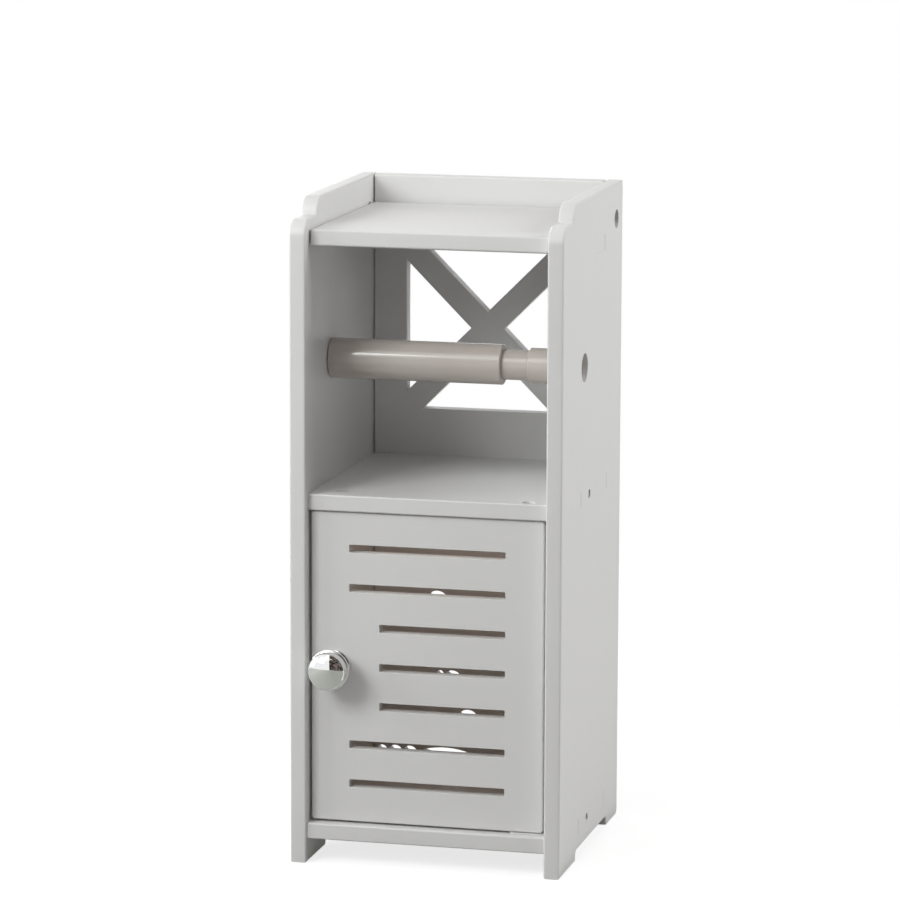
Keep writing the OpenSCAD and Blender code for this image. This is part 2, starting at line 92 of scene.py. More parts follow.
FLAT_ANGLE = math.radians(0.4)      # below this two faces count as one plane
EDGE_ANGLE = math.radians(35)       # above this an edge is a corner of the shape
MERGE = 2e-6                        # points closer than this are one
SKIN = 2e-5                         # a slab stays this far inside its solid
OVERSHOOT = 0.001                   # how far a cutter stands out of what it cuts
ROUND_STEPS = 4                     # steps across a rounded rim
SOFT_STEPS = 2                      # steps across a softened corner
ARC_STEPS = 12                      # steps round an outline's corner
EASE_STEPS = 4                      # steps round a small turned corner
END_STEPS = 6                       # steps round the ends of the sleeve and the cap
NECK_STEPS = 24                     # steps along the knob's neck
DOME_STEPS = 28                     # steps over the knob's crown
TURN_STEPS = 96                     # steps round a turned piece
COIL_STEPS = 24                     # steps in one turn of the spring
WIRE_SIDES = 10
PATCH_DETAIL = 3                    # detail of a finish's broad patches
GRAIN_DETAIL = 2                    # detail of its fine grain


def length(name, default, description):
    """A length that shows in the scene's units."""
    return FloatProperty(name=name, description=description, default=default, min=0.0,
                         precision=5, unit="LENGTH")


def colour(name, default, description):
    """A linear colour."""
    return FloatVectorProperty(name=name, description=description, default=default, size=3,
                               min=0.0, max=1.0, subtype="COLOR")


class CabinetSizes(bpy.types.PropertyGroup):
    """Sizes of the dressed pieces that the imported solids' boxes don't give."""

    board_round: length("Board rounding", 0.0012, "Rounding of the boards' rims")
    board_corner: length("Board corner", 0.0013, "Radius of the lid's and back panel's corners")
    slot_round: length("Slot rounding", 0.0003, "Rounding of the door slots' rims")
    cross_round: length("Cross rounding", 0.0006, "Rounding of the back panel's cross")
    seam: length("Seam", 0.00025, "Softening of corners that meet another board")
    pin_round: length("Pin rounding", 0.00015, "Softening of pins and screw heads")
    ledge_rise: length("Ledge rise", 0.011, "From a side panel's ledge to its top")
    ledge_length: length("Ledge length", 0.028, "Length of a side panel's ledge")
    shoulder: length("Shoulder", 0.0105, "Radius of the corner below the ledge")
    front_foot: length("Front foot", 0.046, "Length of a side panel's front foot")
    rear_foot: length("Rear foot", 0.033, "Length of a side panel's rear foot")
    arch_height: length("Arch height", 0.0062, "Height of the arch between the feet")
    arch_round: length("Arch rounding", 0.004, "Radius under the arch's ends")
    foot_round: length("Foot rounding", 0.002, "Radius of the feet's inner corners")
    heel: length("Heel", 0.004, "Radius of the rear bottom corner")
    slot_count: IntProperty(name="Slots", description="Slots in the door", default=7, min=1)
    short_count: IntProperty(name="Short slots", description="Slots that stay clear of the knob",
                             default=3, min=0)
    slot_height: length("Slot height", 0.005, "Height of each slot")
    slot_pitch: length("Slot pitch", 0.0245, "From slot to slot")
    slot_long: length("Long slot", 0.098, "Length of the long slots")
    slot_short: length("Short slot", 0.079, "Length of the slots beside the knob")
    slot_in: length("Slot margin", 0.024, "From the slots' right ends to the door's edge")
    slot_top: length("First slot", 0.0227, "From the door's top edge to the first slot")
    slot_corner: length("Slot corner", 0.0008, "Radius of the slots' corners")
    door_corner: length("Door corner", 0.002, "Radius of the door's corners")
    cross_half: length("Cross half", 0.053, "Half the square that the cross fills")
    cross_rise: length("Cross rise", 0.083, "From the middle shelf to the cross's middle")
    cross_bar: length("Cross bar", 0.015, "Width of the cross's bars")
    knob_foot: length("Knob foot", 0.01, "Radius of the knob's foot")
    knob_foot_height: length("Knob foot height", 0.002, "Thickness of the knob's foot")
    knob_neck: length("Knob neck", 0.00525, "Radius of the knob's neck")
    knob_rim: length("Knob rim", 0.0018, "Thickness of the rim round the knob's head")
    knob_head: length("Knob head", 0.0105, "Height of the knob's head above its rim")
    knob_crown: length("Knob crown", 0.0055, "Height of the crown on the knob's head")
    knob_edge: length("Knob edge", 0.0005, "Rounding of the knob's foot and rim")
    knob_step: length("Knob step", 0.0007, "Step from the knob's rim in to its head")
    tip_length: length("Tip length", 0.005, "Reach of the spindle's tips")
    tip_radius: length("Tip radius", 0.00894, "Radius of the spindle's tips")
    tip_round: length("Tip rounding", 0.0003, "Rounding of the tips, the lip and the collar")
    sleeve_wall: length("Sleeve wall", 0.0019, "Wall of the spindle's sleeve")
    sleeve_end: length("Sleeve end", 0.003, "Thickness of the sleeve's closed end")
    sleeve_round: length("Sleeve rounding", 0.0009, "Rounding of the sleeve's ends")
    lip_length: length("Lip length", 0.004, "Length of the lip in the sleeve's mouth")
    lip_bore: length("Lip bore", 0.00931, "Radius inside the lip")
    rod_radius: length("Rod radius", 0.00925, "Radius of the plunger's rod")
    collar_radius: length("Collar radius", 0.01054, "Radius of the collar that keeps the plunger in")
    collar_length: length("Collar length", 0.003, "Length of that collar")
    cap_length: length("Cap length", 0.024, "Length of the plunger's cap")
    cap_round: length("Cap rounding", 0.0012, "Rounding of the cap's ends")
    wire: length("Wire", 0.0007, "Radius of the spring's wire")
    coils: IntProperty(name="Coils", description="Turns of the spring", default=12, min=1)
    travel: length("Travel", 0.016, "How far the plunger slides in")


class CabinetColours(bpy.types.PropertyGroup):
    """Colours of the finishes."""

    board: colour("Board", (0.765, 0.765, 0.755), "Satin white board")
    chrome: colour("Chrome", (0.86, 0.865, 0.87), "Polished knob")
    steel: colour("Steel", (0.55, 0.56, 0.57), "Zinc plated screws and pins")
    nickel: colour("Nickel", (0.8, 0.795, 0.78), "Satin stop pin")
    moulding: colour("Moulding", (0.36, 0.355, 0.345), "Grey plugs")
    pad: colour("Pad", (0.74, 0.74, 0.72), "Pale glide pad")
    spindle: colour("Spindle", (0.56, 0.51, 0.47), "Glossy roll spindle")


# ---------- mesh helpers ----------

def arc(centre, radius, start, end, steps=ARC_STEPS):
    """Points of an arc in a plane, angles in degrees."""
    sweep = [math.radians(start + (end - start) * i / steps) for i in range(steps + 1)]
    return [(centre[0] + radius * math.cos(a), centre[1] + radius * math.sin(a)) for a in sweep]


def rounded_rect(low, high, radius):
    """Outline of a rectangle with rounded corners, anticlockwise."""
    (x0, y0), (x1, y1) = low, high
    corners = [(x1, y0, -90), (x1, y1, 0), (x0, y1, 90), (x0, y0, 180)]
    middle = ((x0 + x1) / 2, (y0 + y1) / 2)
    points = []
    for x, y, start in corners:
        centre = (x - math.copysign(radius, x - middle[0]),
                  y - math.copysign(radius, y - middle[1]))
        points += arc(centre, radius, start, start + 90)
    return points


def outline_face(bm, points):
    """One face in the XY plane through a list of points."""
    return bm.faces.new([bm.verts.new((x, y, 0)) for x, y in points])


def lift(bm, face, height):
    """Extrudes a face along its normal and returns the new cap."""
    normal = face.normal.copy()
    made = bmesh.ops.extrude_face_region(bm, geom=[face])["geom"]
    moved = [g for g in made if isinstance(g, bmesh.types.BMVert)]
    cap = next(g for g in made if isinstance(g, bmesh.types.BMFace))
    bmesh.ops.translate(bm, verts=moved, vec=normal * height)
    return cap


def round_rim(bm, cap, radius):
    """Draws a cap in and up along a quarter circle."""
    for i in range(ROUND_STEPS):
        a, b = (math.pi / 2 * (i + k) / ROUND_STEPS for k in (0, 1))
        bmesh.ops.inset_region(
            bm, faces=[cap], use_boundary=True, use_even_offset=True,
            thickness=radius * (math.cos(a) - math.cos(b)),
            depth=radius * (math.sin(b) - math.sin(a)))


def slab(points, thickness, radius):
    """Slab about the XY plane with both rims rounded."""
    bm = bmesh.new()
    face = outline_face(bm, points)
    bm.normal_update()
    if face.normal.z < 0:
        bmesh.ops.reverse_faces(bm, faces=[face])
    bmesh.ops.inset_region(bm, faces=[face], use_boundary=True, use_even_offset=True,
                           thickness=SKIN)
    rim = [f for f in bm.faces if f is not face]
    bmesh.ops.delete(bm, geom=rim, context="FACES")
    bm.normal_update()
    cap = lift(bm, face, thickness / 2 - SKIN - radius)
    bmesh.ops.delete(bm, geom=[f for f in bm.faces if f is not cap and abs(f.normal.z) > 0.5],
                     context="FACES_ONLY")
    bm.normal_update()
    round_rim(bm, cap, radius)
    bmesh.ops.mirror(bm, geom=bm.verts[:] + bm.edges[:] + bm.faces[:], axis="Z", merge_dist=MERGE)
    bmesh.ops.remove_doubles(bm, verts=bm.verts, dist=MERGE)
    bmesh.ops.recalc_face_normals(bm, faces=bm.faces)
    return bm


def rim_cutter(points, radius):
    """Cutter that rounds a hole's rim: its wide end stands above the XY plane."""
    bm = bmesh.new()
    face = outline_face(bm, points)
    bm.normal_update()
    if face.normal.z > 0:
        bmesh.ops.reverse_faces(bm, faces=[face])
        bm.normal_update()
    bmesh.ops.translate(bm, verts=bm.verts, vec=(0, 0, OVERSHOOT))
    cap = lift(bm, face, OVERSHOOT)
    bm.normal_update()
    for i in range(ROUND_STEPS):
        a, b = (math.pi / 2 * (i + k) / ROUND_STEPS for k in (0, 1))
        bmesh.ops.inset_region(
            bm, faces=[cap], use_boundary=True, use_even_offset=True,
            thickness=radius * (math.sin(b) - math.sin(a)),
            depth=radius * (math.cos(a) - math.cos(b)))
    bmesh.ops.recalc_face_normals(bm, faces=bm.faces)
    return bm


def joined(parts):
    """One mesh of several, each with the matrix that places it."""
    whole = bmesh.new()
    for part, place in parts:
        bmesh.ops.transform(part, matrix=place, verts=part.verts)
        bmesh.ops.recalc_face_normals(part, faces=part.faces)
        mesh = bpy.data.meshes.new("part")
        part.to_mesh(mesh)
        part.free()
        whole.from_mesh(mesh)
        bpy.data.meshes.remove(mesh)
    return whole


def closed_copy(node):
    """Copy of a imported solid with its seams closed."""
    bm = bmesh.new()
    bm.from_mesh(NODES[node].data)
    bmesh.ops.remove_doubles(bm, verts=bm.verts, dist=MERGE)
    return bm


def flat_copy(node):
    """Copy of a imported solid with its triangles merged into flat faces."""
    bm = closed_copy(node)
    bmesh.ops.dissolve_limit(bm, angle_limit=FLAT_ANGLE, verts=bm.verts, edges=bm.edges)
    return bm


def scratch_object(bm):
    """Object for a modifier to work on, freed by the caller."""
    mesh = bpy.data.meshes.new("scratch")
    bm.to_mesh(mesh)
    bm.free()
    scratch = bpy.data.objects.new("scratch", mesh)
    bpy.context.scene.collection.objects.link(scratch)
    return scratch


def cut(bm, tool, operation):
    """Boolean of two meshes, both of which are used up."""
    body, other = scratch_object(bm), scratch_object(tool)
    modifier = body.modifiers.new("Cut", "BOOLEAN")
    modifier.operation = operation
    modifier.solver = "EXACT"
    modifier.object = other
    bpy.context.view_layer.update()
    evaluated = body.evaluated_get(bpy.context.evaluated_depsgraph_get())
    result = bpy.data.meshes.new_from_object(evaluated)
    made = bmesh.new()
    made.from_mesh(result)
    bpy.data.meshes.remove(result)
    for scratch in (body, other):
        mesh = scratch.data
        bpy.data.objects.remove(scratch)
        bpy.data.meshes.remove(mesh)
    if not made.faces:
        raise RuntimeError(f"a {operation} left nothing")
    return made


def soften(bm, width):
    """Bevels every corner of a shape."""
    bm.normal_update()
    corners = [e for e in bm.edges if e.is_manifold and e.calc_face_angle(0.0) > EDGE_ANGLE]
    bmesh.ops.bevel(bm, geom=corners, offset=width, offset_type="OFFSET", affect="EDGES",
                    segments=SOFT_STEPS, profile=0.5, material=-1, clamp_overlap=True)
    return bm


def turned(profile):
    """Shape turned about the Z axis from a profile of (radius, height)."""
    bm = bmesh.new()
    verts = [bm.verts.new((r, 0, z)) for r, z in profile]
    edges = [bm.edges.new(pair) for pair in zip(verts, verts[1:])]
    bmesh.ops.spin(bm, geom=verts + edges, cent=(0, 0, 0), axis=(0, 0, 1), dvec=(0, 0, 0),
                   angle=2 * math.pi, steps=TURN_STEPS, use_merge=True, use_duplicate=False)
    bmesh.ops.remove_doubles(bm, verts=bm.verts, dist=MERGE)
    bmesh.ops.recalc_face_normals(bm, faces=bm.faces)
    return bm


def piece(name, bm, node):
    """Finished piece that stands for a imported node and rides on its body."""
    mesh = bpy.data.meshes.new(name)
    bm.to_mesh(mesh)
    bm.free()
    mesh.materials.clear()
    mesh.materials.append(MATERIALS[SLOT_OF[node]]())
    mesh.shade_smooth()
    mesh.set_sharp_from_angle(angle=EDGE_ANGLE)
    made = bpy.data.objects.new(name, mesh)
    bpy.context.scene.collection.objects.link(made)
    weighted = made.modifiers.new("Flat faces first", "WEIGHTED_NORMAL")
    weighted.keep_sharp = True
    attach(made, NODES[node]["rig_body"])
    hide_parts(node)
    return made


# ---------- finishes ----------

def surface_group():
    """Node group: tone, roughness and fine bump that vary over a surface."""
    name = "Surface variation"
    if name in bpy.data.node_groups:
        return bpy.data.node_groups[name]
    group = bpy.data.node_groups.new(name, "ShaderNodeTree")
    for label, kind in (("Color", "NodeSocketColor"), ("Tone", "NodeSocketFloat"),
                        ("Patch Scale", "NodeSocketFloat"), ("Roughness", "NodeSocketFloat"),
                        ("Swing", "NodeSocketFloat"), ("Grain Scale", "NodeSocketFloat"),
                        ("Grain Height", "NodeSocketFloat")):
        group.interface.new_socket(label, in_out="INPUT", socket_type=kind)
    for label, kind in (("Color", "NodeSocketColor"), ("Roughness", "NodeSocketFloat"),
                        ("Normal", "NodeSocketVector")):
        group.interface.new_socket(label, in_out="OUTPUT", socket_type=kind)
    nodes, links = group.nodes, group.links
    given, put = nodes.new("NodeGroupInput"), nodes.new("NodeGroupOutput")
    where = nodes.new("ShaderNodeTexCoord")
    patches, grain = nodes.new("ShaderNodeTexNoise"), nodes.new("ShaderNodeTexNoise")
    patches.inputs["Detail"].default_value = PATCH_DETAIL
    grain.inputs["Detail"].default_value = GRAIN_DETAIL
    for noise, scale in ((patches, "Patch Scale"), (grain, "Grain Scale")):
        links.new(where.outputs["Object"], noise.inputs["Vector"])
        links.new(given.outputs[scale], noise.inputs["Scale"])

    def maths(operation, a, b):
        """Math node of two sockets or numbers."""
        node = nodes.new("ShaderNodeMath")
        node.operation = operation
        for socket, value in zip(node.inputs, (a, b)):
            if isinstance(value, (int, float)):
                socket.default_value = value
            else:
                links.new(value, socket)
        return node.outputs[0]

    patch = maths("SUBTRACT", patches.outputs["Fac"], 0.5)
    shade = maths("ADD", maths("MULTIPLY", patch, given.outputs["Tone"]), 1)
    tint = nodes.new("ShaderNodeVectorMath")
    tint.operation = "SCALE"
    links.new(given.outputs["Color"], tint.inputs[0])
    links.new(shade, tint.inputs["Scale"])
    links.new(tint.outputs[0], put.inputs["Color"])
    both = maths("ADD", patch, maths("SUBTRACT", grain.outputs["Fac"], 0.5))
    swung = maths("MULTIPLY", both, given.outputs["Swing"])
    links.new(maths("ADD", given.outputs["Roughness"], swung), put.inputs["Roughness"])
    bump = nodes.new("ShaderNodeBump")
    bump.inputs["Strength"].default_value = 1
    links.new(given.outputs["Grain Height"], bump.inputs["Distance"])
    links.new(grain.outputs["Fac"], bump.inputs["Height"])
    links.new(bump.outputs["Normal"], put.inputs["Normal"])
    return group


def finish_of(name, base, tone, patch_scale, roughness, swing, grain_scale, grain_height,
              **sockets):
    """Material with the shared surface variation and its own shader values."""
    if name in bpy.data.materials:
        return bpy.data.materials[name]
    material = bpy.data.materials.new(name)
    material.use_nodes = True
    nodes, links = material.node_tree.nodes, material.node_tree.links
    shader = nodes["Principled BSDF"]
    surface = nodes.new("ShaderNodeGroup")
    surface.node_tree = surface_group()
    values = (("Color", (*base, 1)), ("Tone", tone), ("Patch Scale", patch_scale),
              ("Roughness", roughness), ("Swing", swing), ("Grain Scale", grain_scale),
              ("Grain Height", grain_height))
    for label, value in values:
        surface.inputs[label].default_value = value
    links.new(surface.outputs["Color"], shader.inputs["Base Color"])
    links.new(surface.outputs["Roughness"], shader.inputs["Roughness"])
    links.new(surface.outputs["Normal"], shader.inputs["Normal"])
    for label, value in sockets.items():
        shader.inputs[label.replace("_", " ")].default_value = value
    return material


def white_board():
    """Satin foamed board with a very fine skin."""
    return finish_of("White board", colours().board, tone=0.05, patch_scale=14, roughness=0.42,
                     swing=0.08, grain_scale=1500, grain_height=0.000008)


def chrome():
    """Polished chrome plate."""
    return finish_of("Chrome", colours().chrome, tone=0.03, patch_scale=90, roughness=0.045,
                     swing=0.03, grain_scale=900, grain_height=0.0000005, Metallic=1.0)


def zinc_steel():
    """Zinc plate with its cloudy sheen."""
    return finish_of("Zinc steel", colours().steel, tone=0.25, patch_scale=700, roughness=0.34,
                     swing=0.18, grain_scale=5000, grain_height=0.000006, Metallic=1.0)


def nickel():
    """Satin nickel plate."""
    return finish_of("Nickel", colours().nickel, tone=0.08, patch_scale=400, roughness=0.5,
                     swing=0.1, grain_scale=4000, grain_height=0.000003, Metallic=1.0)


def grey_moulding():
    """Semi-matt moulded plastic."""
    return finish_of("Grey moulding", colours().moulding, tone=0.08, patch_scale=200,
                     roughness=0.48, swing=0.1, grain_scale=2500, grain_height=0.00001)


def white_moulding():
    """Smooth pale moulded plastic."""
    return finish_of("White moulding", colours().pad, tone=0.04, patch_scale=250,
                     roughness=0.38, swing=0.08, grain_scale=2500, grain_height=0.000006)


def spindle_plastic():
    """Glossy moulded plastic with a faint orange peel."""
    return finish_of("Spindle plastic", colours().spindle, tone=0.05, patch_scale=60,
                     roughness=0.16, swing=0.06, grain_scale=700, grain_height=0.000003,
                     Coat_Weight=0.6, Coat_Roughness=0.05)


MATERIALS = {
    "white_board": white_board, "chrome": chrome, "zinc_steel": zinc_steel,
    "nickel_magnet": nickel, "grey_plastic": grey_moulding, "white_plastic": white_moulding,
    "spindle_plastic": spindle_plastic,
}


def sizes():
    """The scene's sizes."""
    return bpy.context.scene.cabinet_sizes


def colours():
    """The scene's colours."""
    return bpy.context.scene.cabinet_colours


# ---------- boards ----------

def across_x(x, y, z):
    """Places a drawing of (Y, Z) with its thickness along X."""
    return Matrix(((0, 0, 1, x), (1, 0, 0, y), (0, 1, 0, z), (0, 0, 0, 1)))


def facing_front(x, y, z):
    """Places a drawing of (X, Z) with its normal towards the front."""
    return Matrix(((1, 0, 0, x), (0, 0, -1, y), (0, 1, 0, z), (0, 0, 0, 1)))


def facing_rear(x, y, z):
    """Places a drawing of (X, Z), mirrored in X, with its normal towards the rear."""
    return Matrix(((-1, 0, 0, x), (0, 0, 1, y), (0, 1, 0, z), (0, 0, 0, 1)))


def rims(outlines, radius, front, rear):
    """Cutters for both rims of holes drawn in (X, Z) through a board between two Y."""
    cutters = [(rim_cutter(points, radius), facing_front(0, front + SKIN / 2, 0))
               for points in outlines]
    cutters += [(rim_cutter([(-x, z) for x, z in points], radius),
                 facing_rear(0, rear - SKIN / 2, 0)) for points in outlines]
    return joined(cutters)


def side_outline(depth, height):
    """Outline of a side panel in (Y, Z) from its front bottom corner."""
    s = sizes()
    ledge = height - s.ledge_rise
    rear = depth - s.rear_foot
    under = s.arch_height - s.arch_round
    points = [(0, 0)]
    points += arc((s.front_foot - s.foot_round, s.foot_round), s.foot_round, -90, 0)
    points += arc((s.front_foot + s.arch_round, under), s.arch_round, 180, 90)
    points += arc((rear - s.arch_round, under), s.arch_round, 90, 0)
    points += arc((rear + s.foot_round, s.foot_round), s.foot_round, 180, 270)
    points += arc((depth - s.heel, s.heel), s.heel, -90, 0)
    points += [(depth, height)]
    points += arc((s.ledge_length + s.ledge_rise, ledge), s.ledge_rise, 90, 180)
    points += arc((s.shoulder, ledge - s.shoulder), s.shoulder, 90, 180)
    return points


class CABINET_OT_side_panels(bpy.types.Operator):
    """Rounds the two side panels' outlines"""

    bl_idname = "cabinet.side_panels"
    bl_label = "Side panels"

    def execute(self, context):
        for side in ("left", "right"):
            low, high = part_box(f"{side}_side_panel")
            size = high - low
            board = slab(side_outline(size.y, size.z), size.x, sizes().board_round)
            board.transform(across_x((low.x + high.x) / 2, low.y, low.z))
            bmesh.ops.recalc_face_normals(board, faces=board.faces)
            cut_board = cut(closed_copy(f"{side}_side_panel"), board, "INTERSECT")
            piece(f"{side}_side_board", cut_board, f"{side}_side_panel")
        return {"FINISHED"}


class CABINET_OT_shelves(bpy.types.Operator):
    """Softens the two shelves and the rail under the lid"""

    bl_idname = "cabinet.shelves"
    bl_label = "Shelves and rail"

    def execute(self, context):
        for node in ("bottom_shelf", "middle_shelf", "stretcher"):
            piece(f"{node}_board", soften(flat_copy(node), sizes().seam), node)
        return {"FINISHED"}


def cross_triangles(half, bar):
    """The four openings of a diagonal cross about the origin."""
    tip = bar / 2 * math.sqrt(2)
    for turn in range(4):
        a = math.pi / 2 * turn
        yield [(x * math.cos(a) - y * math.sin(a), x * math.sin(a) + y * math.cos(a))
               for x, y in ((tip, 0), (half, half - tip), (half, tip - half))]


class CABINET_OT_back_panel(bpy.types.Operator):
    """Rounds the back panel and the rims of its cross"""

    bl_idname = "cabinet.back_panel"
    bl_label = "Back panel"

    def execute(self, context):
        s = sizes()
        low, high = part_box("back_panel")
        envelope = slab(rounded_rect((low.x, low.z), (high.x, high.z), s.board_corner),
                        high.y - low.y, s.board_round)
        envelope.transform(facing_front(0, (low.y + high.y) / 2, 0))
        bmesh.ops.recalc_face_normals(envelope, faces=envelope.faces)
        board = cut(closed_copy("back_panel"), envelope, "INTERSECT")
        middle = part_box("middle_shelf")[1].z + s.cross_rise
        grow = s.cross_round - SKIN * 2
        openings = [[(x, middle + z) for x, z in points]
                    for points in cross_triangles(s.cross_half + grow, s.cross_bar - 2 * grow)]
        board = cut(board, rims(openings, s.cross_round, low.y, high.y), "DIFFERENCE")
        piece("back_board", board, "back_panel")
        return {"FINISHED"}


class CABINET_OT_lid(bpy.types.Operator):
    """Rounds the lid"""

    bl_idname = "cabinet.lid"
    bl_label = "Lid"

    def execute(self, context):
        s = sizes()
        low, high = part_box("lid")
        envelope = slab(rounded_rect((low.x, low.y), (high.x, high.y), s.board_corner),
                        high.z - low.z, s.board_round)
        bmesh.ops.translate(envelope, verts=envelope.verts, vec=(0, 0, (low.z + high.z) / 2))
        piece("lid_board", cut(closed_copy("lid"), envelope, "INTERSECT"), "lid")
        return {"FINISHED"}


class CABINET_OT_door(bpy.types.Operator):
    """Rounds the door's outline and the rims of its slots"""

    bl_idname = "cabinet.door"
    bl_label = "Door"

    def execute(self, context):
        s = sizes()
        low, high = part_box("door")
        envelope = slab(rounded_rect((low.x, low.z), (high.x, high.z), s.door_corner),
                        high.y - low.y, s.board_round)
        envelope.transform(facing_front(0, (low.y + high.y) / 2, 0))
        bmesh.ops.recalc_face_normals(envelope, faces=envelope.faces)
        board = cut(closed_copy("door"), envelope, "INTERSECT")
        grow = s.slot_round - SKIN * 2
        right = high.x - s.slot_in
        slots = []
        for i in range(s.slot_count):
            near_knob = abs(i - s.slot_count // 2) <= s.short_count // 2
            left = right - (s.slot_short if near_knob else s.slot_long)
            z = high.z - s.slot_top - i * s.slot_pitch
            slots.append(rounded_rect((left - grow, z - s.slot_height / 2 - grow),
                                      (right + grow, z + s.slot_height / 2 + grow),
                                      s.slot_corner + grow))
        board = cut(board, rims(slots, s.slot_round, low.y, high.y), "DIFFERENCE")
        piece("door_board", board, "door")
        return {"FINISHED"}


# ---------- fittings ----------

class CABINET_OT_fittings(bpy.types.Operator):
    """Softens the screws, pins, plugs, disc and pad"""

    bl_idname = "cabinet.fittings"
    bl_label = "Screws and pins"

    def execute(self, context):
        for node in ("side_screws", "back_screws", "knob_screw", "lid_pins", "upper_pivot_pin",
                     "lower_pivot_pin", "door_glide_pad", "stop_pin", "strike_disc"):
            piece(f"{node}_finished", soften(flat_copy(node), sizes().pin_round), node)
        return {"FINISHED"}


class CABINET_OT_knob(bpy.types.Operator):
    """Turns the knob: foot, waisted neck, rim and crowned head"""

    bl_idname = "cabinet.knob"
    bl_label = "Knob"

    def execute(self, context):
        s = sizes()
        low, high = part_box("knob")
        reach = high.y - low.y
        head = (high.x - low.x) / 2
        edge = s.knob_edge
        rim = reach - s.knob_head - s.knob_rim
        foot = s.knob_foot - edge
        profile = [(0, 0), (foot, 0)] + arc((foot, edge), edge, -90, 0, EASE_STEPS)
        profile += arc((foot, s.knob_foot_height - edge), edge, 0, 90, EASE_STEPS)
        for i in range(1, NECK_STEPS):
            share = i / NECK_STEPS
            waist = 1 - math.sin(math.pi * share)
            profile.append((s.knob_neck + (foot - s.knob_neck) * waist,
                            s.knob_foot_height + (rim - s.knob_foot_height) * share))
        profile += arc((head - edge, rim + edge), edge, -90, 0, EASE_STEPS)
        profile += arc((head - edge, rim + s.knob_rim - edge), edge, 0, 90, EASE_STEPS)
        base = head - s.knob_step
        profile.append((base, rim + s.knob_rim))
        profile += [(base * x, reach - s.knob_crown * (1 - y))
                    for x, y in arc((0, 0), 1, 0, 90, DOME_STEPS)]
        bm = turned(profile)
        bm.transform(Matrix.Translation(((low.x + high.x) / 2, high.y, (low.z + high.z) / 2))
                     @ Matrix.Rotation(math.pi / 2, 4, "X"))
        piece("knob_turned", bm, "knob")
        return {"FINISHED"}


def along_x(bm, node):
    """Lays a shape turned about Z along X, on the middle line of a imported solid."""
    low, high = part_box(node)
    bm.transform(Matrix.Translation((0, (low.y + high.y) / 2, (low.z + high.z) / 2))
                 @ Matrix.Rotation(math.pi / 2, 4, "Y"))
    return bm


class CABINET_OT_spindle(bpy.types.Operator):
    """Turns the roll spindle's sleeve and plunger and winds its spring"""

    bl_idname = "cabinet.spindle"
    bl_label = "Roll spindle"

    def execute(self, context):
        piece("sleeve_turned", along_x(self.sleeve(), "spindle_sleeve"), "spindle_sleeve")
        piece("plunger_turned", along_x(self.plunger(), "spindle_plunger"), "spindle_plunger")
        coil = piece("spring_wound", along_x(self.spring(), "spindle_spring"), "spindle_spring")
        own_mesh(coil)
        return {"FINISHED"}

    def sleeve(self):
        """Tube with a closed left end, a tip and a lip in its mouth."""
        s = sizes()
        low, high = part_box("spindle_sleeve")
        outer, ease, tip = (high.z - low.z) / 2, s.tip_round, s.tip_radius
        left, mouth, bore = low.x + s.tip_length, high.x, outer - s.sleeve_wall
        shoulder = outer - s.sleeve_round
        profile = [(0, low.x)] + arc((tip - ease, low.x + ease), ease, -90, 0, EASE_STEPS)
        profile.append((tip, left))
        profile += arc((shoulder, left + s.sleeve_round), s.sleeve_round, -90, 0, END_STEPS)
        profile += arc((shoulder, mouth - s.sleeve_round), s.sleeve_round, 0, 90, END_STEPS)
        profile += arc((s.lip_bore + ease, mouth - ease), ease, 90, 180, EASE_STEPS)
        profile += [(s.lip_bore, mouth - s.lip_length), (bore, mouth - s.lip_length)]
        profile += [(bore, left + s.sleeve_end), (0, left + s.sleeve_end)]
        return turned(profile)

    def plunger(self):
        """Collar, rod, cap and tip."""
        s = sizes()
        low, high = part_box("spindle_plunger")
        outer, ease, tip = (high.z - low.z) / 2, s.tip_round, s.tip_radius
        right = high.x - s.tip_length
        left = right - s.cap_length
        collar = s.collar_radius - ease
        profile = [(0, low.x)] + arc((collar, low.x + ease), ease, -90, 0, EASE_STEPS)
        profile += arc((collar, low.x + s.collar_length - ease), ease, 0, 90, EASE_STEPS)
        profile += [(s.rod_radius, low.x + s.collar_length), (s.rod_radius, left)]
        shoulder = outer - s.cap_round
        profile += arc((shoulder, left + s.cap_round), s.cap_round, -90, 0, END_STEPS)
        profile += arc((shoulder, right - s.cap_round), s.cap_round, 0, 90, END_STEPS)
        profile += [(tip, right)] + arc((tip - ease, high.x - ease), ease, 0, 90, EASE_STEPS)
        profile.append((0, high.x))
        return turned(profile)

    def spring(self):
        """Wire wound about the spindle's line."""
        s = sizes()
        low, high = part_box("spindle_spring")
        bm = bmesh.new()
        bmesh.ops.create_circle(bm, cap_ends=True, segments=WIRE_SIDES, radius=s.wire)
        middle = (high.z - low.z) / 2 - s.wire
        bm.transform(Matrix.Translation((middle, 0, low.x + s.wire))
                     @ Matrix.Rotation(math.pi / 2, 4, "X"))
        steps = COIL_STEPS * s.coils
        rise = (high.x - low.x - 2 * s.wire) / steps
        bmesh.ops.spin(bm, geom=bm.verts[:] + bm.edges[:] + bm.faces[:], cent=(0, 0, 0),
                       axis=(0, 0, 1), dvec=(0, 0, rise), angle=2 * math.pi * s.coils,
                       steps=steps, use_merge=False, use_duplicate=False)
        bmesh.ops.recalc_face_normals(bm, faces=bm.faces)
        return bm


# ---------- stage ----------

CAMERA_AT = (0.6653, -2.6885, 0.7255)
CAMERA_TURN = 13.97                 # degrees to the right of the cabinet's front
CAMERA_DIP = 9.76                   # degrees below level
CAMERA_ROLL = 0.2                   # degrees
SENSOR = 36                         # millimetres
FOCAL = 181.3                       # millimetres
CAMERA_REACH = (0.1, 50)            # nearest and farthest thing it sees
COOL = (0.98, 1.0, 0.99)
WARM = (1.0, 0.79, 0.67)
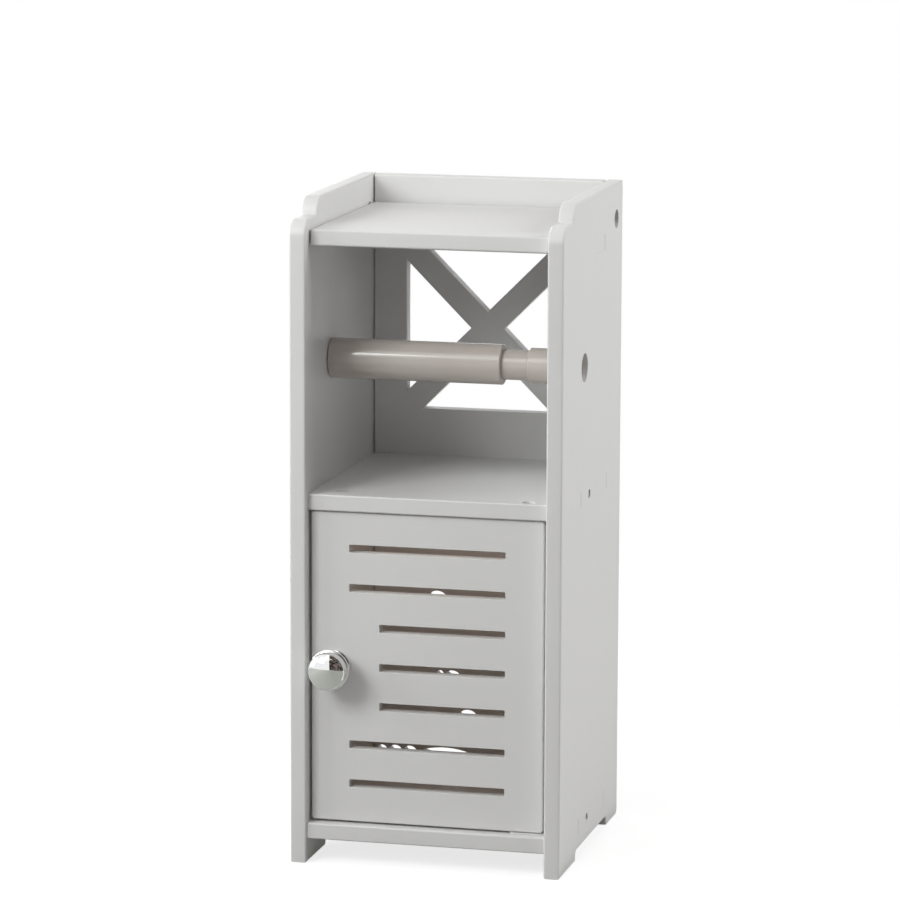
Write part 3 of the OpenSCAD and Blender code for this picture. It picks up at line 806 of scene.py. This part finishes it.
# Each lamp's name, place, aim, size, power in watts and colour.
LAMPS = (
    ("Top softbox", (0.0, -0.1, 1.9), (0, 0, 0.2), 1.0, 1.2, COOL),
    ("High front softbox", (0.0, -0.9, 1.3), (0, 0, 0.2), 0.8, 2.6, COOL),
    ("Front left softbox", (-1.0, -1.6, 1.3), (0, 0, 0.25), 0.9, 13.3, COOL),
    ("Near left softbox", (-0.6, -0.9, 0.9), (0, 0, 0.3), 0.5, 3.4, COOL),
    ("Left softbox", (-2.0, -0.6, 0.9), (0, 0, 0.2), 1.2, 17.5, COOL),
    ("Right softbox", (1.2, 0.1, 1.0), (0, 0, 0.3), 0.7, 10.1, COOL),
    ("Low right softbox", (1.6, 0.2, 0.4), (0, 0, 0.2), 0.8, 2.5, COOL),
    ("Rear softbox", (-1.3, 1.9, 0.9), (0, 0, 0.2), 1.2, 16.0, COOL),
    ("Cupboard fill", (0.0, 0.01, 0.2185), (0, 0.01, 0), 0.1, 0.020, WARM),
)
FLOOR_HALF = 6
FLOOR_DROP = 0.0001                 # keeps the floor just under the feet
FLOOR_ROUGHNESS = 0.9
FLOOR_FADE = (0.5, 1.3)             # the floor turns to plain white between these distances
FLOOR_TONE = (0.4, 0.4, 0.4)
FLOOR_LIFT = 0.76                   # glow that lets the eye see the floor as white
# Glowing cards that only polished things see; they paint the knob's reflection. The ground lies flat
# beside the knob and rises in front.
GROUND_RISE = (0.8, 0.1)            # reach and height of the rising part
GROUND_FLAT = (-0.02, 0.5)          # the flat part's front and rear edge, from the knob's face
GROUND_LIFT = 0.001                 # the flat part's height above the floor
GROUND_HALF = 3                     # reach to the left, and the rising part's to the right
GROUND_PAST = 0.15                  # reach of the flat part to the knob's right
# Grey of the ground card's painted reflection.
GROUND_TONE = (0.38, 0.39, 0.355)
GROUND_LEFT = 1.6                   # how many times lighter the left of the painted reflection is
GROUND_FADE = 0.4                   # distance over which it grows lighter
DRUM = (1.0, 0.1, 1.2)              # radius, foot and top of the dark drum that paints a reflection
DRUM_SWEEP = 130                    # degrees, from straight in front round to the right
# Dark and light tones of the drum's painted reflection.
DRUM_TONES = ((0.012, 0.01, 0.008), (0.26, 0.22, 0.2))
BLOTCHES = (4, 4)                   # scale and detail of the drum's painted light blotches
BLOTCH_EDGE = (0.38, 0.66)          # noise level where dark ends and where light begins
FILL = (1.0, 0.63, 0.7)             # colour of the dim light from all round
FILL_LEVEL = 0.063


def glow(name, colours_at, pattern):
    """Glowing card material that paints a reflection: a pattern of 0 to 1 blended through two
    colours.
    """
    material = bpy.data.materials.new(name)
    material.use_nodes = True
    nodes, links = material.node_tree.nodes, material.node_tree.links
    nodes.remove(nodes["Principled BSDF"])
    glowing = nodes.new("ShaderNodeEmission")
    blend = nodes.new("ShaderNodeMix")
    blend.data_type = "RGBA"
    blend.inputs["A"].default_value = (*colours_at[0], 1)
    blend.inputs["B"].default_value = (*colours_at[1], 1)
    links.new(pattern(nodes, links), blend.inputs["Factor"])
    links.new(blend.outputs["Result"], glowing.inputs["Color"])
    links.new(glowing.outputs[0], nodes["Material Output"].inputs["Surface"])
    return material


def ground_reflection_glow():
    """Painted reflection: grey that grows lighter to the left."""

    def leftward(nodes, links):
        where, split = nodes.new("ShaderNodeTexCoord"), nodes.new("ShaderNodeSeparateXYZ")
        fade = nodes.new("ShaderNodeMapRange")
        fade.inputs["From Min"].default_value = 0
        fade.inputs["From Max"].default_value = -GROUND_FADE
        links.new(where.outputs["Object"], split.inputs[0])
        links.new(split.outputs["X"], fade.inputs["Value"])
        return fade.outputs["Result"]

    return glow("Ground card", (GROUND_TONE, tuple(GROUND_LEFT * c for c in GROUND_TONE)), leftward)


def drum_reflection_glow():
    """Painted reflection: dark brown with soft lighter blotches."""

    def blotches(nodes, links):
        where, noise = nodes.new("ShaderNodeTexCoord"), nodes.new("ShaderNodeTexNoise")
        noise.inputs["Scale"].default_value, noise.inputs["Detail"].default_value = BLOTCHES
        spread = nodes.new("ShaderNodeMapRange")
        spread.inputs["From Min"].default_value = BLOTCH_EDGE[0]
        spread.inputs["From Max"].default_value = BLOTCH_EDGE[1]
        links.new(where.outputs["Object"], noise.inputs["Vector"])
        links.new(noise.outputs["Fac"], spread.inputs["Value"])
        return spread.outputs["Result"]

    return glow("Dark drum", DRUM_TONES, blotches)


def seen_directly(nodes, links):
    """Mask that is 1 for what the camera, gloss and glass see."""
    path = nodes.new("ShaderNodeLightPath")
    total = path.outputs["Is Camera Ray"]
    for ray in ("Is Glossy Ray", "Is Transmission Ray"):
        most = nodes.new("ShaderNodeMath")
        most.operation = "MAXIMUM"
        links.new(total, most.inputs[0])
        links.new(path.outputs[ray], most.inputs[1])
        total = most.outputs[0]
    return total


class CABINET_OT_stage(bpy.types.Operator):
    """Lays the floor and sets the lamps, the world and the camera"""

    bl_idname = "cabinet.stage"
    bl_label = "Studio"

    def execute(self, context):
        self.floor()
        self.cards()
        self.world(context.scene)
        for name, place, aim, size, power, tint in LAMPS:
            lamp = bpy.data.lights.new(name, "AREA")
            lamp.shape, lamp.size, lamp.energy, lamp.color = "SQUARE", size, power, tint
            holder = bpy.data.objects.new(name, lamp)
            holder.location = place
            holder.rotation_euler = (Vector(aim) - Vector(place)).to_track_quat("-Z", "Y").to_euler()
            context.scene.collection.objects.link(holder)
        self.camera(context.scene)
        context.scene.view_settings.view_transform = "Standard"
        return {"FINISHED"}

    def floor(self):
        """White floor that keeps the cabinet's soft shadow and fades to plain white."""
        bm = bmesh.new()
        bmesh.ops.create_grid(bm, x_segments=1, y_segments=1, size=FLOOR_HALF)
        bmesh.ops.translate(bm, verts=bm.verts, vec=(0, 0, -FLOOR_DROP))
        mesh = bpy.data.meshes.new("floor")
        bm.to_mesh(mesh)
        bm.free()
        material = bpy.data.materials.new("Floor")
        material.use_nodes = True
        nodes, links = material.node_tree.nodes, material.node_tree.links
        shader = nodes["Principled BSDF"]
        shader.inputs["Base Color"].default_value = (*FLOOR_TONE, 1)
        shader.inputs["Roughness"].default_value = FLOOR_ROUGHNESS
        shader.inputs["Specular IOR Level"].default_value = 0
        seen = seen_directly(nodes, links)
        lifted = nodes.new("ShaderNodeMath")
        lifted.operation = "MULTIPLY"
        lifted.inputs[1].default_value = FLOOR_LIFT
        links.new(seen, lifted.inputs[0])
        shader.inputs["Emission Color"].default_value = (1, 1, 1, 1)
        links.new(lifted.outputs[0], shader.inputs["Emission Strength"])
        where = nodes.new("ShaderNodeTexCoord")
        distance = nodes.new("ShaderNodeVectorMath")
        distance.operation = "LENGTH"
        links.new(where.outputs["Object"], distance.inputs[0])
        fade = nodes.new("ShaderNodeMapRange")
        fade.interpolation_type = "SMOOTHSTEP"
        fade.inputs["From Min"].default_value, fade.inputs["From Max"].default_value = FLOOR_FADE
        links.new(distance.outputs["Value"], fade.inputs["Value"])
        share = nodes.new("ShaderNodeMath")
        share.operation = "MULTIPLY"
        links.new(seen, share.inputs[0])
        links.new(fade.outputs["Result"], share.inputs[1])
        white = nodes.new("ShaderNodeEmission")
        mixed = nodes.new("ShaderNodeMixShader")
        links.new(share.outputs[0], mixed.inputs[0])
        links.new(shader.outputs[0], mixed.inputs[1])
        links.new(white.outputs[0], mixed.inputs[2])
        links.new(mixed.outputs[0], nodes["Material Output"].inputs["Surface"])
        mesh.materials.append(material)
        floor = bpy.data.objects.new("floor", mesh)
        bpy.context.scene.collection.objects.link(floor)

    def cards(self):
        """Glowing grey ground and mottled dark drum that paint the polished knob's reflection."""
        low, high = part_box("knob")
        ground = bmesh.new()
        front, rear = GROUND_FLAT
        reach, top = GROUND_RISE
        flat = outline_face(ground, [(-GROUND_HALF, rear), (-GROUND_HALF, front),
                                     (GROUND_PAST, front), (GROUND_PAST, rear)])
        rise = outline_face(ground, [(-GROUND_HALF, front), (-GROUND_HALF, -reach),
                                     (GROUND_HALF, -reach), (GROUND_HALF, front)])
        for vert in flat.verts[:] + rise.verts[:]:
            vert.co.z = top if vert.co.y < front - MERGE else GROUND_LIFT
        drum = bmesh.new()
        radius, foot, roof = DRUM
        verts = [drum.verts.new(co) for co in ((0, -radius, foot), (0, -radius, roof), (0, 0, roof))]
        edges = [drum.edges.new(pair) for pair in zip(verts, verts[1:])]
        bmesh.ops.spin(drum, geom=verts + edges, cent=(0, 0, 0), axis=(0, 0, 1), dvec=(0, 0, 0),
                       angle=math.radians(DRUM_SWEEP), steps=ARC_STEPS,
                       use_merge=False, use_duplicate=False)
        bmesh.ops.remove_doubles(drum, verts=drum.verts, dist=MERGE)
        # Both cards glow and are seen only in gloss: a painted reflection in the knob.
        for name, bm, material in (("ground_reflection_card", ground, ground_reflection_glow()),
                                   ("dark_reflection_drum", drum, drum_reflection_glow())):
            bm.transform(Matrix.Translation(((low.x + high.x) / 2, low.y, 0)))
            mesh = bpy.data.meshes.new(name)
            bm.to_mesh(mesh)
            bm.free()
            mesh.materials.append(material)
            card = bpy.data.objects.new(name, mesh)
            bpy.context.scene.collection.objects.link(card)
            card.visible_camera = card.visible_diffuse = card.visible_transmission = False
            card.visible_shadow = card.visible_volume_scatter = False

    def world(self, scene):
        """White to the eye, a dim warm fill to the surfaces."""
        world = bpy.data.worlds.new("Studio")
        world.use_nodes = True
        nodes, links = world.node_tree.nodes, world.node_tree.links
        lit = nodes["Background"]
        lit.inputs["Color"].default_value = (*FILL, 1)
        lit.inputs["Strength"].default_value = FILL_LEVEL
        white = nodes.new("ShaderNodeBackground")
        white.inputs["Strength"].default_value = 1
        white.inputs["Color"].default_value = (1, 1, 1, 1)
        mixed = nodes.new("ShaderNodeMixShader")
        links.new(seen_directly(nodes, links), mixed.inputs[0])
        links.new(lit.outputs[0], mixed.inputs[1])
        links.new(white.outputs[0], mixed.inputs[2])
        links.new(mixed.outputs[0], nodes["World Output"].inputs["Surface"])
        scene.world = world

    def camera(self, scene):
        """Camera at the photograph's place."""
        camera = bpy.data.cameras.new("Camera")
        camera.sensor_width, camera.lens = SENSOR, FOCAL
        camera.clip_start, camera.clip_end = CAMERA_REACH
        holder = bpy.data.objects.new("Camera", camera)
        turn = (Matrix.Rotation(math.radians(CAMERA_TURN), 4, "Z")
                @ Matrix.Rotation(math.radians(90 - CAMERA_DIP), 4, "X")
                @ Matrix.Rotation(math.radians(CAMERA_ROLL), 4, "Z"))
        holder.matrix_world = Matrix.Translation(CAMERA_AT) @ turn
        scene.collection.objects.link(holder)
        scene.camera = holder


class CABINET_PT_panel(bpy.types.Panel):
    """Buttons and values of the cabinet"""

    bl_idname = "CABINET_PT_panel"
    bl_label = "Toilet Roll Cabinet"
    bl_space_type = "VIEW_3D"
    bl_region_type = "UI"
    bl_category = "Cabinet"

    def draw(self, context):
        layout = self.layout
        for operator in OPERATORS:
            layout.operator(operator.bl_idname)
        for group in (context.scene.cabinet_sizes, context.scene.cabinet_colours):
            box = layout.box()
            for name in group.__annotations__:
                box.prop(group, name)


OPERATORS = (
    CABINET_OT_side_panels, CABINET_OT_shelves, CABINET_OT_back_panel, CABINET_OT_lid,
    CABINET_OT_door, CABINET_OT_fittings, CABINET_OT_knob, CABINET_OT_spindle, CABINET_OT_stage,
)
CLASSES = (CabinetSizes, CabinetColours, *OPERATORS, CABINET_PT_panel)


def register():
    """Adds the classes and the scene's values."""
    for cls in CLASSES:
        bpy.utils.register_class(cls)
    bpy.types.Scene.cabinet_sizes = PointerProperty(type=CabinetSizes)
    bpy.types.Scene.cabinet_colours = PointerProperty(type=CabinetColours)


def unregister():
    """Takes them away again."""
    del bpy.types.Scene.cabinet_colours
    del bpy.types.Scene.cabinet_sizes
    for cls in reversed(CLASSES):
        bpy.utils.unregister_class(cls)


def main():
    """Builds every piece and the stage."""
    register()
    for operator in OPERATORS:
        group, name = operator.bl_idname.split(".")
        getattr(getattr(bpy.ops, group), name)()


if __name__ == "__main__":
    main()
